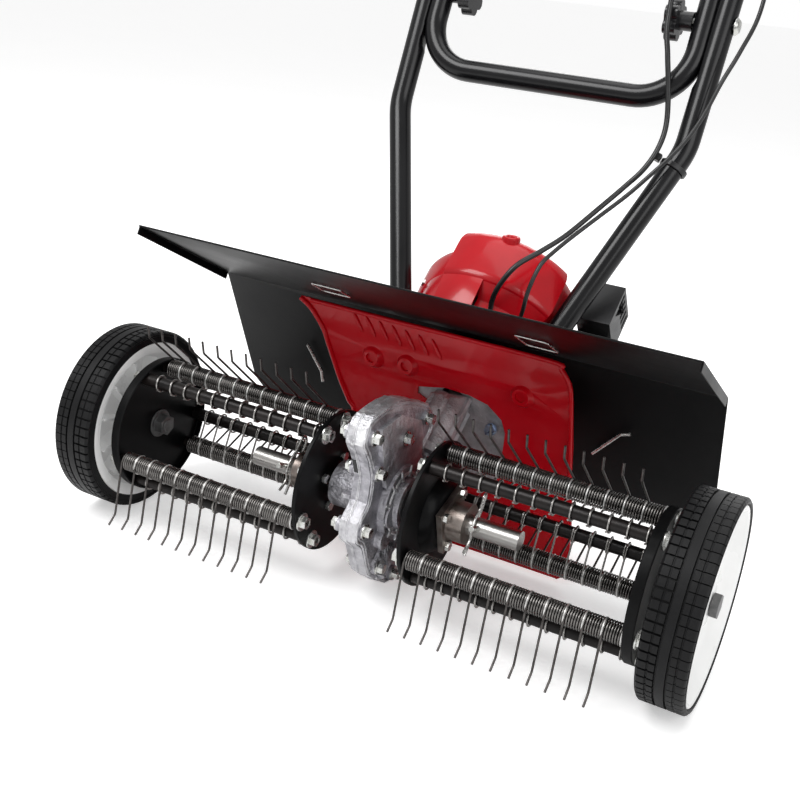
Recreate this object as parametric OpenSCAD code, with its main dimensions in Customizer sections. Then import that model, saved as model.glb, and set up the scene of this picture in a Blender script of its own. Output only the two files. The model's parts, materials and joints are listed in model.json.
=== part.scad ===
// Walk-behind lawn dethatcher: two spring-tine reels on a worm-drive gearcase,
// a small upright engine on the drive axis, side wheels, a debris shield and a folding handle.

/* [Wheels] */
// Outer radius of the tyres
wheel_r = 88.9; // [80:0.1:95]
// Width of each tyre
tyre_w = 40; // [34:1:44]
// Distance from the machine's centre plane to the outer face of a tyre
track_x = 304; // [300:1:320]

/* [Reels] */
// Radius of the round reel plates
plate_r = 66; // [62:0.5:68]
// Radius at which the rods sit on the plates
rod_pcr = 57; // [54:0.5:58]
// Radius of the rods
rod_r = 6; // [4:0.5:6]
// Number of spring tines along one rod
tines_per_rod = 12; // [6:1:12]
// Distance between neighbouring tines
tine_pitch = 15.8; // [14:0.1:16]
// Radius of the spring wire
wire_r = 1.3; // [1:0.1:1.5]
// Turn of the whole reel about its axle, from the rearward direction to the first coil rod
reel_turn = 81.7; // [60:0.1:90]

/* [Drive] */
// Distance between the worm axis and the axle
worm_offset = 28; // [28:0.5:30]
// Sideways place of the drive axis
drive_x = 6; // [0:1:8]
// Slope of the drive axis above the horizontal
drive_slope = 40; // [38:1:42]

/* [Shield and fender] */
// Half of the shield's width
shield_hw = 258; // [240:1:262]
// Length of the shield's lower panel
panel_len = 172; // [150:1:176]
// Thickness of the shield's sheet
shield_t = 1.6; // [1.2:0.1:2.5]
// Thickness of the fender's sheet
fender_t = 2; // [1.5:0.1:2.5]

/* [Handle] */
// Outer radius of the handle tubes
tube_r = 11; // [10:0.5:11]
// Half of the distance between the lower tubes at the fold
handle_hw = 152; // [150:1:156]
// Radius of the rubber grips
grip_r = 15.5; // [14:0.5:17]

/* [Hidden] */
$fn = 48;
oy = -305.3;

// frames: W puts the axle at the origin; D has +Z along the drive axis, -Y up and forward
module W() { translate([0, oy, wheel_r]) children(); }
module D() { W() translate([drive_x, worm_offset*sin(drive_slope), -worm_offset*cos(drive_slope)]) rotate([drive_slope-90,0,0]) children(); }
module xcyl(r, x0, x1, fn=48) { translate([x0,0,0]) rotate([0,90,0]) cylinder(r=r, h=x1-x0, $fn=fn); }
module xring(r, ri, x0, x1) { difference() { xcyl(r,x0,x1); xcyl(ri,x0-1,x1+1); } }
module xprism(p, x0, x1) { translate([x0,0,0]) rotate([90,0,90]) linear_extrude(x1-x0) polygon(p); }
module yprism(p, y0, y1) { translate([0,y1,0]) rotate([90,0,0]) linear_extrude(y1-y0) polygon(p); }
module rod_between(a, b, r, fn=24) {
  v = b-a; l = norm(v);
  translate(a) rotate([0, acos(v[2]/l), atan2(v[1],v[0])]) cylinder(r=r, h=l, $fn=fn);
}
module bolt_x(y, z, x, s=1, r=5, h=5) { // flanged hex bolt head standing on the plane at x
  translate([x,y,z]) rotate([0,s*90,0]) union() { cylinder(r=r*1.35,h=1.4,$fn=24); translate([0,0,1]) cylinder(r=r,h=h,$fn=6); }
}
function un(v) = v/norm(v);
function pn(P,i) = let(d=un(P[min(i+1,len(P)-1)]-P[max(i-1,0)])) [-d[1], d[0]];
function strip(P,a,b) = concat([for(i=[0:len(P)-1]) P[i]+a*pn(P,i)], [for(i=[len(P)-1:-1:0]) P[i]+b*pn(P,i)]);
// a tube through round points: straight lengths joined by arcs in the plane of each corner
function dirs(P,i) = un(P[i+1]-P[i]);
// swept tube of n sides along points
function ringpts(P,i,r,n) = let(t = i==0 ? un(P[1]-P[0]) : i==len(P)-1 ? un(P[i]-P[i-1]) : un(un(P[i+1]-P[i])+un(P[i]-P[i-1])),
  a = un(cross(t,[0.31,0.9,-0.3])), b = cross(t,a)) [for(k=[0:n-1]) P[i]+r*cos(360*k/n)*a+r*sin(360*k/n)*b];
module sweep(P, r, n=8) {
  m = len(P);
  pts = [for(i=[0:m-1]) each ringpts(P,i,r,n)];
  sides = [for(i=[0:m-2]) for(k=[0:n-1]) [i*n+k, (i+1)*n+k, (i+1)*n+(k+1)%n, i*n+(k+1)%n]];
  polyhedron(points=pts, faces=concat([[for(k=[0:n-1]) k]], sides, [[for(k=[n-1:-1:0]) (m-1)*n+k]]), convexity=6);
}
function crp(a,b,c,d,t) = 0.5*((2*b)+(c-a)*t+(2*a-5*b+4*c-d)*t*t+(3*b-a-3*c+d)*t*t*t);
function smooth(P,k) = [for(i=[0:len(P)-2]) for(j=[0:k-1]) crp(P[max(i-1,0)],P[i],P[i+1],P[min(i+2,len(P)-1)],j/k), P[len(P)-1]];

// ---------- gearcase ----------
G = [[-70,90],[-60,98],[-14,100],[44,80],[60,54],[46,34],[79,-1],[62,-22],[40,-40],[22,-68],[12,-82],[-4,-82],[-24,-70],[-42,-56],
     [-58,-24],[-70,-14],[-70,4],[-56,18],[-54,40],[-63,60],[-74,76]];
GT = [[-50,84],[-16,88],[26,70],[34,52],[34,30],[-30,24],[-42,56]];
GB = [[-60,80],[-46,43],[0,61],[-61,-5],[-28,-54],[4,-74],[40,68],[52,-18]];
wx = drive_x;
module worm_line(r, s0, s1) { translate([drive_x, worm_offset*sin(drive_slope), -worm_offset*cos(drive_slope)]) rotate([drive_slope-90,0,0]) translate([0,0,s0]) cylinder(r=r,h=s1-s0); }
module case_cavity() {
  xcyl(21.5, wx-8, wx+8);
  worm_line(9.5, -44, 62);
  worm_line(13.05, -50.2, -38);
  worm_line(13.05, 44, 61);
  xcyl(9.4, -60, 60);
  xcyl(17.05, -46, -28); xcyl(17.05, 16, 40);
}
module case_bolts_holes() { for(b=GB) translate([0,b[0],b[1]]) { xcyl(3.2,-60,60,24); xcyl(8,wx+11,wx+40,24); xcyl(8,wx-40,wx-14,24); } }
module gearcase_left() color("silver") W() difference() {
  union() {
    xprism(G, wx-8, wx);
    xprism(GT, wx-17, wx-7);
    xcyl(35, wx-20, wx-7); xcyl(21, -44, wx-19);
    intersection() { worm_line(17, -60, 60); translate([wx-30,-100,-100]) cube([30,250,250]); }
    for(b=GB) translate([0,b[0],b[1]]) xcyl(7, wx-14, wx-7, 24);
    for(a=[20:60:330]) rotate([a,0,0]) translate([wx-30,-2,20]) cube([12,4,13]);
  }
  case_cavity(); case_bolts_holes();
  translate([wx-14,-90,46]) cube([7,40,20]);
}
module gearcase_right() color("silver") W() difference() {
  union() {
    xprism(G, wx, wx+8);
    xprism(GT, wx+7, wx+12);
    xcyl(35, wx+7, wx+15); xcyl(24, wx+14, 28);
    intersection() { worm_line(17, -60, 60); translate([wx,-100,-100]) cube([30,250,250]); }
    for(b=GB) translate([0,b[0],b[1]]) xcyl(7, wx+7, wx+11, 24);
    translate([0,-22,-4]) xcyl(11, wx+7, wx+17, 32);
    translate([0,-27,-26]) xcyl(9, wx+7, wx+15, 32);
  }
  case_cavity(); case_bolts_holes();
}
module gearcase_bolts() color("gainsboro") W() for(i=[0:len(GB)-1]) {
  translate([0,GB[i][0],GB[i][1]]) xcyl(3, wx-14.2, wx+11.1, 24);
  bolt_x(GB[i][0],GB[i][1], wx+11.05, 1, 5, 5.5);
  bolt_x(GB[i][0],GB[i][1], wx-14.05, -1, 5, 4.5);
}
module shaft_seals() color("dimgray") W() { xring(17, 9.1, -44.5, -39.2); xring(17, 9.1, 26.2, 28.6); }
module bearings() color("lightsteelblue") {
  W() { xring(17, 9.05, -38.8, -28.2); xring(17, 9.05, 16.2, 25.9); }
  D() { difference() { translate([0,0,-49.8]) cylinder(r=13,h=11.6); translate([0,0,-60]) cylinder(r=7.05,h=30); }
        difference() { translate([0,0,44.2]) cylinder(r=13,h=11.6); translate([0,0,40]) cylinder(r=7.05,h=20); }
        difference() { translate([0,0,112]) cylinder(r=13,h=11); translate([0,0,105]) cylinder(r=7.05,h=30); }
        difference() { translate([0,0,176]) cylinder(r=14,h=11); translate([0,0,170]) cylinder(r=6.05,h=30); }
        difference() { translate([0,0,194]) cylinder(r=14,h=11); translate([0,0,190]) cylinder(r=6.05,h=30); } }
}
// ---------- fender, clutch housing, shield ----------
F = [[101,130],[101.5,112],[103,95],[111,70],[120,45],[125,22],[126,0],[125,-22],[121,-45],[115,-66],[109,-84]];
FO = [[-166,132],[-151,122],[-136,104],[-130,86],[-121,50],[-112,28],[-104,10],[-104,-84],[138,-84],[147,-74],[143,-48],[137,-14],[131,20],[128,95],[124,112],[114,125],[98,132]];
FC = [[-34,-26],[-34,32],[-22,34],[-19,44],[-22,54],[-31,58],[-30,66],[0,73],[25,72],[44,67],[58,54],[62,40],[58,-26]];
module fender() color("crimson") W() {
  difference() {
    intersection() { xprism(strip(F,0,fender_t), -170, 160); yprism(FO, 60, 160); }
    yprism(FC, 60, 160);
    for(p=[[-24,-38],[36,-38]]) translate([p[0],140,p[1]]) rotate([90,0,0]) cylinder(r=3.1,h=60,$fn=24);
  }
  // pressed stiffening bosses
  for(p=[[-78,87],[-40,88],[79,88]]) translate([p[0],107.5,p[1]]) rotate([96,0,0]) difference() { cylinder(r1=13,r2=8,h=8,$fn=32); translate([0,0,5]) cylinder(r=5,h=5,$fn=32); }
}
module ahead_of_fender() xprism(concat([[50,135],[50,-90]],[for(i=[len(F)-1:-1:0]) F[i]+(fender_t+0.4)*pn(F,i)]), -80, 100);
module clutch_case() color("darkgray") difference() {
  union() {
    difference() { D() translate([0,0,84]) cylinder(r=37.5,h=84); W() ahead_of_fender(); }
    D() { translate([0,0,60.3]) cylinder(r=24,h=8); translate([0,0,60.3]) cylinder(r=18.5,h=70);
      for(a=[10:60:310]) rotate([0,0,a]) translate([-2,16,66]) cube([4,6,64]); }
    W() intersection() { xprism(strip(F,fender_t+0.4,fender_t+7), -42, 68); yprism([[-42,-46],[-42,72],[-30,80],[30,82],[60,74],[68,60],[68,-46]], 60, 160); }
    W() translate([wx-17,132,-10]) cube([34,23,44]);
  }
  D() { translate([0,0,50]) cylinder(r=9,h=150); translate([0,0,111.9]) cylinder(r=13.05,h=40); translate([0,0,142]) cylinder(r=33.5,h=40); }
  W() difference() { ahead_of_fender(); yprism([for(p=FC) p*0.94+[0.9,1.4]], 40, 170); }
  W() { translate([wx-12.3,140.7,-20]) cube([24.6,6.6,50]); translate([wx,170,8]) rotate([90,0,0]) cylinder(r=4.05,h=50,$fn=32); }
  W() for(p=[[-24,-38],[36,-38],[-12,41],[48,41]]) translate([p[0],160,p[1]]) rotate([90,0,0]) cylinder(r=3.1,h=60,$fn=24);
}
module fender_bolts() color("cornflowerblue") W() {
  for(p=[[-12,41,120.6],[48,41,120.6],[-24,-38,120.6],[36,-38,120.6]]) translate([p[0],p[2],p[1]]) rotate([90,0,0]) { cylinder(r=6,h=2,$fn=24); translate([0,0,1.5]) cylinder(r=5,h=6,$fn=6); translate([0,0,-8]) cylinder(r=2.8,h=9,$fn=24);}
}
// folded debris shield
SF = [110.3,131.3];
PD = [0.434,-0.901];
HD = [-0.901,0.434];
HN = [0.434,0.901];
module shield() color([0.07,0.07,0.08]) W() {
  difference() {
    xprism(strip([SF+156*HD, SF+40*HD, SF, SF+60*PD, SF+panel_len*PD],0,shield_t), -shield_hw, shield_hw);
    // opening behind the fender for the drive
    yprism([[-94,-90],[-94,100],[-72,124],[78,124],[98,100],[98,-90]], 90, 260);
    // clipped lower corners
    for(s=[-1,1]) yprism([[s*262,-50],[s*262,8],[s*225,-50]], 90, 260);
  }
  // folded end lips of the hood
  for(s=[-1,1]) xprism([SF+1*HD+0.8*HN, SF+155*HD+0.8*HN, SF+155*HD-7*HN, SF+1*HD-7*HN], s>0?shield_hw-1.6:-shield_hw, s>0?shield_hw:-shield_hw+1.6);
}
module shield_clips() color("gainsboro") W() {
  for(c=[[[-172,137,68],[-161,151,38],[-160,154,26]],[[140,153.5,32],[167,138,64],[176,137,67]]]) { rod_between(c[0],c[1],1.6,13); rod_between(c[1]-1.2*un(c[2]-c[1]),c[2],1.5,13); }
  for(c=[[-112,-82,56,84],[86,116,36,76]]) xprism([SF+c[2]*HD-0.9*HN, SF+c[3]*HD-0.9*HN, SF+c[3]*HD-2.7*HN, SF+c[2]*HD-2.7*HN], c[0], c[1]);
}
// ---------- engine ----------
module engine_block() color("dimgray") D() difference() {
  union() {
    translate([0,0,174]) cylinder(r=45,h=18); translate([0,0,191]) cylinder(r=56,h=14.5);
    translate([-6,-30,194]) rotate([90,0,0]) cylinder(r=15,h=36);
    for(k=[0:4]) translate([-32,-62+k*5.5,176]) cube([44,2.6,29]);
  }
  translate([0,0,170]) cylinder(r=6.6,h=60);
  translate([0,0,175.9]) cylinder(r=14.05,h=11.2); translate([0,0,193.9]) cylinder(r=14.05,h=20);
  for(a=[45:90:315]) rotate([0,0,a]) translate([38,0,172]) cylinder(r=2.6,h=12,$fn=24);
  translate([0,0,207]) cylinder(r=80,h=40);
}
module engine_cover() color("red") D() difference() {
  union() {
    rotate_extrude($fn=96) polygon([[57.5,207],[66,207],[75,222],[75.5,256],[72,268],[60,279],[44,286],[22,289],[10,289],[10,286.5],[22,286.5],[43,283.6],[58.5,277],[69.8,266.5],[72.5,255.5],[72.5,222.5],[64.8,209.5],[57.5,209.5]]);
    rotate([0,0,-112]) rotate_extrude(angle=78,$fn=96) polygon([[70,212],[84,212],[87,218],[87,258],[83,268],[68,276],[66,273],[80,264],[84,256],[84,220],[82,215],[74.5,215]]);
    translate([-20,70,229]) cube([22,25,22]);
    intersection() { W2D() translate([22,170,190]) cylinder(r=9,h=26,$fn=6*8); difference() { cylinder(r=120,h=400); translate([0,0,200]) cylinder(r=72,h=75); } }
  }
  W2D() translate([22,170,208]) cylinder(r=4.6,h=20,$fn=6);
  translate([0,84,240]) xcyl(3,-40,0,24);
  for(a=[0:30:330]) rotate([0,0,a]) translate([30,-2,280]) cube([18,4,12]);
}
module W2D() { rotate([90-drive_slope,0,0]) translate([-drive_x, -worm_offset*sin(drive_slope), worm_offset*cos(drive_slope)]) children(); }
module engine_screws() color("gainsboro") D() {
  for(a=[45:90:315]) rotate([0,0,a]) translate([38,0,173.3]) cylinder(r=2.5,h=9,$fn=24);
  for(a=[40,160,205]) rotate([0,0,a]) translate([0,0,229]) rotate([0,90,0]) translate([0,0,76.2]) cylinder(r=4,h=3,$fn=6);
}
module muffler() color("gray") D() difference() {
  union() { translate([-100,3,176]) cube([50,50,29]); translate([-60,14,180]) cube([16,24,14]); translate([-92,53,186]) rotate([-90,0,0]) cylinder(r=7,h=8,$fn=32); }
  for(k=[0:6]) translate([-101,8+k*6,180]) cube([2.2,3,20]);
  translate([-92,55,186]) rotate([-90,0,0]) cylinder(r=5,h=10,$fn=32);
  translate([0,0,170]) cylinder(r=45.4,h=22); translate([0,0,190]) cylinder(r=56.4,h=30);
}
module air_cleaner() color([0.13,0.13,0.14]) D() {
  difference() {
    union() { translate([86,-2,184]) cube([30,38,54]); translate([86,-24,237]) cube([34,44,46]); }
    translate([80,-30,252]) rotate([0,90,0]) translate([-20,12,0]) linear_extrude(60) polygon([[0,0],[20,0],[0,20]]);
    for(k=[0:4]) translate([118,-20+k*8,262]) cube([4,4,16]);
  }
}
module carburettor() color("silver") D() { translate([56.8,10,179]) cube([28.8,26,22]); translate([66,36,184]) cube([12,10,12]); translate([72,23,174]) cylinder(r=8,h=6,$fn=32); }
module choke_lever() color("black") D() { translate([78.4,41,190]) xcyl(4,0,3,24); translate([78.4,42,188]) cube([3,20,4]); }
module fuel_tank() color("white") D() difference() {
  union() { translate([-62,64,152]) cube([110,46,50]); translate([-36,92,201]) cylinder(r=15,h=7); }
  translate([-36,92,190]) cylinder(r=11,h=30);
}
module fuel_cap() color("red") D() translate([-36,92,208.3]) difference() { cylinder(r=19,h=12); for(a=[0:30:330]) rotate([0,0,a]) translate([19.5,0,-1]) cylinder(r=1.8,h=20,$fn=24); }
module plug_cap() color("black") D() { translate([-6,-66.3,194]) rotate([90,0,0]) cylinder(r=7,h=12); }
module starter_grip() color("black") D() { translate([0,84,240]) xcyl(4,-30,-20.4,24); translate([-32,84,224]) cylinder(r=6,h=32,$fn=32); }
module socket_rods(r) W2D() for(s=[-1,1]) rod_between([s*60.8,132.5,78.7]-6*TD(s),[s*60.8,132.5,78.7]+60*TD(s),r,48);
function TD(s) = un([s*89.6,115.1,230.6]);
module handle_bracket() color([0.1,0.1,0.1]) D() difference() {
  union() {
    translate([0,0,168.8]) linear_extrude(4.6) polygon([[-92,-36],[84,-36],[84,8],[46,52],[20,52],[20,63.6],[-20,63.6],[-20,52],[-46,52],[-92,8]]);
    intersection() { socket_rods(13.8); translate([-150,-100,160]) cube([300,200,26]); }
  }
  translate([0,0,150]) cylinder(r=14,h=40);
  for(a=[45:90:315]) rotate([0,0,a]) translate([38,0,160]) cylinder(r=2.6,h=20,$fn=24);
  for(s=[-1,1]) translate([s*40,40,150]) cylinder(r=3.1,h=40,$fn=24);
  socket_rods(tube_r+0.1);
}
// ---------- reel ----------
rows = [0,120,240];
function rp(a) = [rod_pcr*cos(a), rod_pcr*sin(a)];
hook_lag = 32;
module tine_shaft() color("lightgray") W() difference() { xcyl(9,-134,134); for(s=[-1,1]) translate([s*97,0,0]) rotate([70,0,0]) translate([0,0,-20]) cylinder(r=2.6,h=40,$fn=24); }
module worm_wheel() color("goldenrod") W() difference() { xcyl(19.6, wx-6, wx+6); xcyl(9.05,-60,60); for(a=[0:10:350]) rotate([a,0,0]) translate([wx-7,-0.8,18.2]) cube([14,1.6,4]); }
module hub(s) W() difference() {
  union() { rotate([0,0,0]) xcyl(18, s>0?70.5:-86, s>0?86:-70.5); rotate([20,0,0]) translate([s>0?65.6:-71,-22,-22]) cube([5.4,44,44]); }
  xcyl(9.1,-140,140);
  for(a=[0:90:270]) rotate([a+20,0,0]) translate([0,16.5,16.5]) xcyl(2.7,-140,140,24);
}
module hub_left() color("saddlebrown") hub(-1);
module hub_right() color("gray") hub(1);
module hub_pins() color("gainsboro") W() for(s=[-1,1]) {
  translate([s*97,0,0]) rotate([70,0,0]) translate([0,0,-16]) cylinder(r=2.5,h=40,$fn=24);
  for(a=[0:90:270]) rotate([a+20,0,0]) translate([0,16.5,16.5]) { xcyl(2.6, s>0?49:-72, s>0?72:-49, 24); xcyl(4.6, s>0?71.1:-75, s>0?75:-71.1, 6); xcyl(4.6, s>0?45.4:-49.2, s>0?49.2:-45.4, 6); }
}
module rod_holes(r) for(a=rows) { for(b=[a+reel_turn, a+reel_turn+hook_lag]) translate([0,rp(b)[0],rp(b)[1]]) xcyl(r,-300,300,24); }
module inner_plate(s) W() difference() {
  union() { xcyl(plate_r, s>0?50:-54, s>0?54:-50, 96); xcyl(34, s>0?53.5:-60, s>0?60:-53.5); xcyl(28, s>0?59.5:-65.2, s>0?65.2:-59.5); }
  xcyl(9.1,-300,300); rod_holes(3.05);
  for(a=[0:90:270]) rotate([a+20,0,0]) translate([0,16.5,16.5]) xcyl(2.7,-140,140,24);
}
module inner_plate_left() color([0.06,0.06,0.07]) inner_plate(-1);
module inner_plate_right() color([0.06,0.06,0.07]) inner_plate(1);
module outer_plate(s) W() difference() {
  union() { xcyl(plate_r, s>0?251.6:-255.2, s>0?255.2:-251.6, 96); difference() { xcyl(plate_r, s>0?246:-252, s>0?252:-246, 96); xcyl(plate_r-2,-300,300,96); } }
  xcyl(6.05,-300,300); rod_holes(3.05);
}
module outer_plate_left() color([0.06,0.06,0.07]) outer_plate(-1);
module outer_plate_right() color([0.06,0.06,0.07]) outer_plate(1);
module rods(off) W() for(s=[-1,1]) for(a=rows) translate([0,rp(a+reel_turn+off)[0],rp(a+reel_turn+off)[1]]) {
  xcyl(rod_r, s>0?54.1:-251.5, s>0?251.5:-54.1, 24); xcyl(3, s>0?46:-262, s>0?262:-46, 24); }
module coil_rods() color([0.12,0.11,0.11]) rods(0);
module hook_rods() color([0.12,0.11,0.11]) rods(hook_lag);
module rod_nuts() color("gainsboro") W() for(s=[-1,1]) for(a=rows) for(b=[a+reel_turn,a+reel_turn+hook_lag]) translate([0,rp(b)[0],rp(b)[1]]) {
  difference() { union() { xcyl(8.5, s>0?48.4:-49.9, s>0?49.9:-48.4, 24); xcyl(6, s>0?43.4:-48.6, s>0?48.6:-43.4, 6); xcyl(8, s>0?255.3:-256.8, s>0?256.8:-255.3, 24); xcyl(6, s>0?256.6:-261.4, s>0?261.4:-256.6, 6); } xcyl(3.05,-300,300,24); }
}
// one spring tine on the coil rod at angle a: coil round the rod, hook round the second rod, slanted leg
function tine_start(a) = rp(a) + 7.6*[cos(a-31), sin(a-31)];
function tine_tip(a) = rp(a) + 8*[cos(a-31), sin(a-31)] + 52*[cos(a+59), sin(a+59)] + 12*[cos(a+21), sin(a+21)];
module tine(x, a) {
  c = rp(a); h = rp(a+hook_lag);
  st = tine_start(a); tip = tine_tip(a);
  k = un(h-c);
  translate([x,0,0]) difference() {
    union() {
      translate([0,c[0],c[1]]) xcyl(9.2, -7.1, 7.1, 24);
      rod_between([-4.6, st[0], st[1]], [-4.6, tip[0], tip[1]], wire_r, 13);
      translate([0,h[0],h[1]]) xcyl(8.6, 3.4, 6.9, 24);
      rod_between([5.2, c[0]+7*k[0], c[1]+7*k[1]], [5.2, h[0]-7*k[0], h[1]-7*k[1]], wire_r, 13);
    }
    translate([0,c[0],c[1]]) xcyl(rod_r+0.25,-9,9,24);
    translate([0,h[0],h[1]]) xcyl(rod_r+0.25,-9,9,24);
  }
}
module tine_rows(s) W() for(a=rows) for(i=[0:tines_per_rod-1]) tine(s*(65+i*tine_pitch), a+reel_turn);
module tines_left() color("dimgray") tine_rows(-1);
module tines_right() color("dimgray") tine_rows(1);
// ---------- wheels ----------
module wheel_bolts() color("gray") W() for(s=[-1,1]) { xcyl(6, s>0?250:-298, s>0?298:-250); xcyl(11, s>0?297:-303.4, s>0?303.4:-297, 6); xring(16, 6.05, s>0?255.4:-258.4, s>0?258.4:-255.4);
  difference() { union() { xcyl(14, s>0?249.8:-251.5, s>0?251.5:-249.8); xcyl(10.5, s>0?241:-250, s>0?250:-241, 6); } xcyl(5.9, s>0?240:-260, s>0?260:-240); } xcyl(6, s>0?240:-256, s>0?256:-240); }
module rimx(s) W() mirror([s>0?0:1,0,0]) difference() {
  rotate([0,90,0]) rotate_extrude($fn=96) polygon([[6.06,259],[20,259],[22,284],[60,284],[66,268],[76,264.5],[77.6,264.5],[77.6,272],[80.6,274],[80.6,300],[84,302],[82,303],[77,300],[70,291],[40,289.5],[22,291],[18,296],[6.06,296]]);
  for(a=[0:60:300]) rotate([a+10,0,0]) translate([270,-5,40]) cube([30,10,12]);
}
module rim_left() color("white") rimx(-1);
module rim_right() color("white") rimx(1);
module tyrex(s) W() mirror([s>0?0:1,0,0]) rotate([0,90,0]) rotate_extrude($fn=96) polygon([[78,264],[86,264],[wheel_r-0.6,265.5],[wheel_r,268],[wheel_r,300],[wheel_r-1,303],[87,304],[84.6,304],[84.4,301.9],[81,299.8],[81,273.7],[78,271.8]]);
module tyre_left() color([0.07,0.07,0.07]) tyrex(-1);
module tyre_right() color([0.07,0.07,0.07]) tyrex(1);
// ---------- drive ----------
module worm_shaft() color("lightgray") D() union() { translate([0,0,-49.6]) cylinder(r=7,h=197.6); translate([0,0,-22]) cylinder(r=8,h=44); difference() { translate([0,0,146]) cylinder(r=30,h=18); translate([0,0,148]) cylinder(r=27.5,h=20); } }
module crankshaft() color("lightgray") D() { translate([0,0,150]) cylinder(r=6,h=132); difference() { translate([0,0,150]) cylinder(r=26,h=12); for(a=[0:90:270]) rotate([0,0,a]) translate([-1.5,12,149]) cube([3,20,14]); } }
module flywheel() color("gray") D() difference() { union() { translate([0,0,222]) cylinder(r=58,h=10); for(a=[0:30:330]) rotate([0,0,a]) translate([26,-1.5,231]) cube([30,3,14]); translate([0,0,222]) cylinder(r=20,h=26); } translate([0,0,200]) cylinder(r=6.05,h=60); }
// ---------- handle ----------
TL = [[60.8,132.5,78.7],[150.4,247.6,309.3],[153.4,306,456]];
function mx(P,s) = [for(p=P) [s*p[0],p[1],p[2]]];
PV = [293,422];
UD = [0,0.37,0.929];
LX = 136;
module handle_tube(s) W() difference() {
  P = mx(TL,s);
  union() { rod_between(P[0],P[1],tube_r,48); translate(P[1]) sphere(r=tube_r+0.05,$fn=48); rod_between(P[1],P[2],tube_r,48); }
  translate([s>0?100:-144.4,PV[0],PV[1]]) rotate([-atan2(0.37,0.929),0,0]) translate([0,-30,-62]) cube([44.4,60,144]);
  translate([0,PV[0],PV[1]]) xcyl(4.1,-300,300,32);
}
module handle_tube_left() color([0.05,0.05,0.05]) handle_tube(-1);
module handle_tube_right() color([0.05,0.05,0.05]) handle_tube(1);
module handle_bolts() color("gainsboro") D() for(s=[-1,1]) translate([s*40,40,0]) { translate([0,0,160]) cylinder(r=3,h=15,$fn=24); translate([0,0,173.6]) cylinder(r=6,h=4.5,$fn=6); translate([0,0,162]) cylinder(r=6,h=4.5,$fn=6); }
module upper_handle() color([0.05,0.05,0.05]) W() difference() {
  union() {
    rod_between([-86,264.5,351],[86,264.5,351],tube_r,48);
    for(s=[-1,1]) {
      translate([s*86,264.5,351]) rotate([atan2(0.929,0.37),0,0]) translate([0,50,0]) rotate([0,0,s>0?-90:180]) rotate_extrude(angle=90,$fn=64) translate([50,0]) circle(r=tube_r-0.04,$fn=48);
      L0 = [s*LX,264.5+50*0.37,351+50*0.929];
      L1 = [s*LX,264.5+370*0.37,351+370*0.929];
      L2 = [s*(LX+26),L1[1]+165,L1[2]+112];
      L3 = [s*(LX+26),L2[1]+128,L2[2]+30];
      rod_between(L0,L1,tube_r,48); translate(L1) sphere(r=tube_r+0.05,$fn=48); rod_between(L1,L2,tube_r,48); translate(L2) sphere(r=tube_r+0.05,$fn=48); rod_between(L2,L3,tube_r,48);
    }
  }
  for(s=[-1,1]) translate([s>0?144:-184,PV[0],PV[1]]) rotate([-atan2(0.37,0.929),0,0]) translate([0,-30,-62]) cube([40,60,112]);
  translate([0,PV[0],PV[1]]) xcyl(4.15,-300,300,32);
}
G0 = [LX+26, 264.5+370*0.37+165, 351+370*0.929+112];
GD = [0,128,30]/131.47;
module grips() color([0.08,0.08,0.08]) W() for(s=[-1,1]) difference() { rod_between([s*G0[0],0,0]+[0,G0[1],G0[2]]+28*GD, [s*G0[0],G0[1],G0[2]]+133*GD, grip_r, 48);
  rod_between([s*G0[0],G0[1],G0[2]]-5*GD, [s*G0[0],G0[1],G0[2]]+131.7*GD, tube_r+0.05, 48); }
module onbar() { W() translate(G0) rotate([-atan2(128,30),0,0]) children(); } // +Z along the right grip
module throttle_housing() color([0.1,0.1,0.11]) onbar() difference() {
  translate([-17,-24,2]) cube([34,41,24]);
  translate([0,0,-60]) cylinder(r=tube_r+0.15,h=120);
  translate([-3.5,-26,-1]) cube([8,11,28]); translate([8,-26,3]) cube([6,6.4,10]); translate([0,-20,18]) xcyl(2.05,-30,30,24);
}
module throttle_lever() color("black") onbar() translate([0,-20,18]) rotate([14,0,0]) { xcyl(3.2,-3,4,24); translate([-3,-2.5,1]) cube([7,5,60]); xcyl(2,-19.5,19.5,24); }
module stop_switch() color("red") onbar() translate([8.4,-28,3.4]) cube([5.2,8,6]);
module knob(s) W() translate([0,PV[0],PV[1]]) difference() { union() {
   xcyl(9, s>0?112:-124.8, s>0?124.8:-112, 32); for(a=[0:60:300]) rotate([a,0,0]) translate([s*106,0,12]) xcyl(7,-6,6,32); xcyl(15, s>0?100:-112, s>0?112:-100, 48); }
   xcyl(4.15, s>0?104:-130, s>0?130:-104, 32); }
module knob_left() color("black") knob(-1);
module knob_right() color("black") knob(1);
module pivot_bolts() color("gainsboro") W() translate([0,PV[0],PV[1]]) for(s=[-1,1]) { xcyl(4.05, s>0?106:-167, s>0?167:-106, 32); translate([s*164.1,0,0]) rotate([0,s*90,0]) cylinder(r1=9,r2=5.5,h=4,$fn=32); }
module cable_tie() color("black") W() translate([143.5,238.7,291.5]) rotate([-26.7,21.3,0]) difference() { union() { cylinder(r=13.6,h=5); translate([-22,-9,-1]) cube([8,8,7]); } translate([0,0,-1]) cylinder(r=tube_r+0.6,h=8); }
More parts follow.
